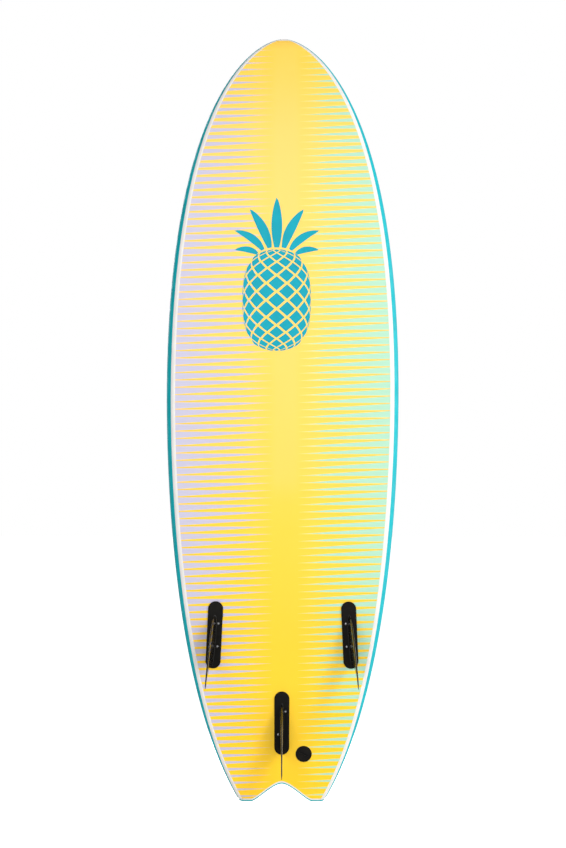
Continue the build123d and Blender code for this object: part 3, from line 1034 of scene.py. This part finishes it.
def fin_screws():
    """Two button-head machine screws with hexagon sockets in each fin plate."""
    finish = steel_look()
    seat = plate_height - counterbore_depth
    shoulder = seat + screw_head_sides
    dome = [
        (screw_head_radius * cos(angle), shoulder + screw_head_crown * sin(angle))
        for angle in np.radians(np.linspace(0, 90, dome_steps))
    ]
    profile = [(0, screw_shank_end), (screw_shank_radius, screw_shank_end), (screw_shank_radius, seat)]
    profile += [(screw_head_radius, seat)] + dome
    for name in fin_places:
        heads = []
        for turn, (x, y) in zip(screw_turns, screw_points(name)):
            screw = turned("screw", profile)
            cut_away(screw, [hexagon_cutter(shoulder + screw_head_crown - screw_socket_depth)])
            spin = Matrix.Rotation(radians(turn), 4, "Z")
            shift = Matrix.Translation(Vector((x, y, 0)) * MM)
            heads.append(moved(screw, fin_frame(name) @ shift @ spin))
        pair = joined(f"fin_screw_pair_{name}", heads)
        place(dress(pair, finish), "steel", f"fin_screws_{name}")


# ---------------------------------------------------------------- emblem

emblem_x = -15
emblem_low = 1078
emblem_body = (82, 122)  # half width and half height of the fruit
emblem_face = 0.25  # height of the print's outer face over the slick
emblem_back = 0.05  # and of its back
cell_columns = 5
cell_rows = 9
cell_side_points = 6
cell_shares = (0.80, 0.86)  # width and height of a cell that are printed
oval_reach = 0.98  # how near the rows come to the oval's ends
oval_power = 2.6
closest_points = 0.3
smallest_cell = 25  # square millimetres
leaf_steps = 14
leaf_start = 0.12  # a leaf's width starts this far along its rise and fall
leaf_fullness = 0.8
crown_gap = 4
centre_leaf = (122, 26)  # length and width
side_leaves = [
    # across, below the crown, angle, length, width, bend
    (17, 1, 13, 106, 23, 0.25),
    (33, 6, 32, 84, 19, 0.42),
    (46, 15, 55, 56, 15, 0.45),
]


def printed_shape(name, loops):
    """Thin print on the underside from outlines, each a list of (x, z).

    Faces run straight across each outline, so that they follow the board's curve.
    """
    verts, faces = [], []
    for loop in loops:
        count = len(loop)
        first = len(verts)
        for height in (emblem_face, emblem_back):
            verts += [(x, float(bottom_y(z)) - height, z) for x, z in loop]
        for i in range((count - 1) // 2):
            corners = 3 if count - 2 - i == i + 1 else 4
            across = (i, i + 1, count - 2 - i, count - 1 - i)[:corners]
            faces.append(tuple(first + k for k in across))
            faces.append(tuple(first + count + k for k in across[::-1]))
        for i in range(count):
            j = (i + 1) % count
            faces.append((first + i, first + count + i, first + count + j, first + j))
    return mesh_object(name, verts, faces, hardware_sharp_angle)


def clipped(value):
    return max(-1, min(1, value))


def diamond(u, v):
    """Points round a cell, clipped to the square from -1 to 1 that the oval is bent from."""
    reach_u, reach_v = 1 / cell_columns, 1 / cell_rows
    share_u, share_v = cell_shares
    corners = [(u + reach_u, v), (u, v + reach_v), (u - reach_u, v), (u, v - reach_v)]
    points = []
    for (a, b), (c, d) in zip(corners, corners[1:] + corners[:1]):
        for step in range(cell_side_points):
            p = a + (c - a) * step / cell_side_points
            q = b + (d - b) * step / cell_side_points
            points.append((clipped(u + (p - u) * share_u), clipped(v + (q - v) * share_v)))
    return points


def on_fruit(p, q):
    """Point of the oval for a point of the square, as on the front of a round fruit."""
    half_x, half_z = emblem_body
    rise = sin(q * pi / 2 * oval_reach)
    girth = (1 - abs(rise) ** oval_power) ** (1 / oval_power)
    return emblem_x + half_x * girth * sin(p * pi / 2), emblem_low + half_z + half_z * rise


def enclosed_area(points):
    return sum(a[0] * b[1] - b[0] * a[1] for a, b in zip(points, points[1:] + points[:1])) / 2


def fruit_cells():
    """Diamond cells over an oval, narrowing towards its sides as on a round fruit."""
    loops = []
    for row in range(-cell_rows, cell_rows + 1):
        for column in range(-cell_columns, cell_columns + 1):
            if (row + column) % 2:
                continue
            shape = []
            for p, q in diamond(column / cell_columns, row / cell_rows):
                x, z = on_fruit(p, q)
                if not shape or abs(x - shape[-1][0]) + abs(z - shape[-1][1]) > closest_points:
                    shape.append((x, z))
            if abs(enclosed_area(shape)) > smallest_cell:
                loops.append(shape)
    return loops


def leaf(root_x, root_z, angle, length, width, bend):
    """Pointed leaf, curving sideways as it rises."""
    left, right = [], []
    for i in range(leaf_steps + 1):
        t = i / leaf_steps
        turn = radians(angle) + bend * t
        x = root_x + length * t * sin(turn)
        z = root_z + length * t * cos(turn)
        rise = sin(pi * min(1, leaf_start + (1 - leaf_start) * t))
        half = width / 2 * rise**leaf_fullness if i < leaf_steps else 0
        left.append((x - half * cos(turn), z + half * sin(turn)))
        right.append((x + half * cos(turn), z - half * sin(turn)))
    return left + right[:-1][::-1]


def emblem():
    """Generic pineapple print where the board carries its graphic."""
    top = emblem_low + 2 * emblem_body[1] + crown_gap
    length, width = centre_leaf
    loops = fruit_cells() + [leaf(emblem_x, top, 0, length, width, 0)]
    for side in (-1, 1):
        for across, drop, angle, length, width, bend in side_leaves:
            root_x = emblem_x + side * across
            loops.append(leaf(root_x, top - drop, side * angle, length, width, side * bend))
    place(dress(printed_shape("printed_emblem", loops), emblem_look()), "slick")


# ---------------------------------------------------------------- kept CAD nodes

def dress_kept_nodes():
    """Inner pieces and small hardware keep their CAD shapes."""
    plug = moulded_look("satin_black_plug", black_plug, low=0.42, high=0.58)
    kinds = {
        "core_": bead_look(),
        "stringer_": plywood_look(),
        "barrel_nuts_": plug,
        "leash_nut": plug,
        "leash_cup": plug,
        "leash_pin": steel_look(),
    }
    for name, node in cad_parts.items():
        for start, look in kinds.items():
            if name.startswith(start):
                dress(node, look)


# ---------------------------------------------------------------- studio

sky_level = 0.19
soft_boxes = {
    # direction from the board's middle, distance and size in metres, light level
    "front_box": ((0.05, -1.0, 0.30), 6.0, 4.4, 0.24),
    "fill_box": ((0.50, -0.88, 0.05), 6.0, 2.2, 0.24),
    "key_box": ((0.62, -0.66, 0.62), 5.0, 1.2, 0.32),
    "left_box": ((-0.42, -0.95, 0.20), 6.0, 2.4, 0.27),
    "side_box": ((1.0, 0.28, 0.10), 5.0, 2.0, 0.66),
    "back_box": ((-0.35, 1.0, 0.35), 6.0, 3.6, 0.70),
}


def floor():
    """Plain pale floor, wide enough for every view. Camera rays see it as white."""
    radius, count = 70.0, 96
    shape = bmesh.new()
    bmesh.ops.create_circle(shape, cap_ends=True, cap_tris=False, segments=count, radius=radius)
    mesh = bpy.data.meshes.new("studio_floor")
    shape.to_mesh(mesh)
    shape.free()
    ground = bpy.data.objects.new("studio_floor", mesh)
    bpy.context.scene.collection.objects.link(ground)
    look = Look("studio_floor", Roughness=0.9, Specular_IOR_Level=0.1)
    look.mottle(floor_white, amount=0.006, scale=3.0)
    look.shader.inputs["Emission Color"].default_value = (1, 1, 1, 1)
    seen = look.tree.nodes.new("ShaderNodeLightPath").outputs["Is Camera Ray"]
    look.tree.links.new(seen, look.shader.inputs["Emission Strength"])
    dress(ground, look)


def softbox(name, direction, distance, size, level):
    """Square area light aimed at the board's middle.

    level is the light it gives a white surface that faces it, where 1 is white.
    """
    target = Vector((0, 0, mid_z * MM))
    light = bpy.data.lights.new(name, "AREA")
    light.shape, light.size, light.size_y = "RECTANGLE", size, size
    light.energy = level * pi**2 * distance**2
    lamp = bpy.data.objects.new(name, light)
    lamp.location = target + Vector(direction).normalized() * distance
    lamp.rotation_mode = "QUATERNION"
    lamp.rotation_quaternion = (target - lamp.location).to_track_quat("-Z", "Y")
    bpy.context.scene.collection.objects.link(lamp)


def sky(level):
    """White backdrop for the camera, and a weaker even light on the board."""
    world = bpy.data.worlds.new("studio")
    bpy.context.scene.world = world
    world.use_nodes = True
    tree = world.node_tree
    tree.nodes.clear()
    light, backdrop = (tree.nodes.new("ShaderNodeBackground") for _ in range(2))
    light.inputs["Strength"].default_value = level
    light.inputs["Color"].default_value = (1, 1, 1, 1)
    backdrop.inputs["Color"].default_value = (1, 1, 1, 1)
    seen = tree.nodes.new("ShaderNodeLightPath").outputs["Is Camera Ray"]
    choose, out = tree.nodes.new("ShaderNodeMixShader"), tree.nodes.new("ShaderNodeOutputWorld")
    tree.links.new(seen, choose.inputs[0])
    tree.links.new(light.outputs[0], choose.inputs[1])
    tree.links.new(backdrop.outputs[0], choose.inputs[2])
    tree.links.new(choose.outputs[0], out.inputs[0])


def studio():
    """Floor, backdrop and soft lights."""
    floor()
    sky(sky_level)
    for name, (direction, distance, size, level) in soft_boxes.items():
        softbox(name, direction, distance, size, level)
    bpy.context.scene.view_settings.view_transform = "Standard"


def camera():
    """Long lens, square on to the underside."""
    picture_height = 2.0297  # metres of the board's plane that fill the picture's height
    distance = 30.0
    aim_x, aim_z = 0.0010, 0.9037
    roll = -0.15  # degrees
    data = bpy.data.cameras.new("camera")
    data.sensor_width = 36
    data.lens = data.sensor_width * distance / picture_height
    data.clip_start, data.clip_end = 0.1, 200
    lens = bpy.data.objects.new("camera", data)
    lens.location = (aim_x, -distance, aim_z)
    lens.rotation_mode = "XYZ"
    lens.rotation_euler = (pi / 2, radians(roll), 0)
    bpy.context.scene.collection.objects.link(lens)
    bpy.context.scene.camera = lens


camera()
studio()
underside()
rails()
deck()
fins()
fin_screws()
emblem()
dress_kept_nodes()
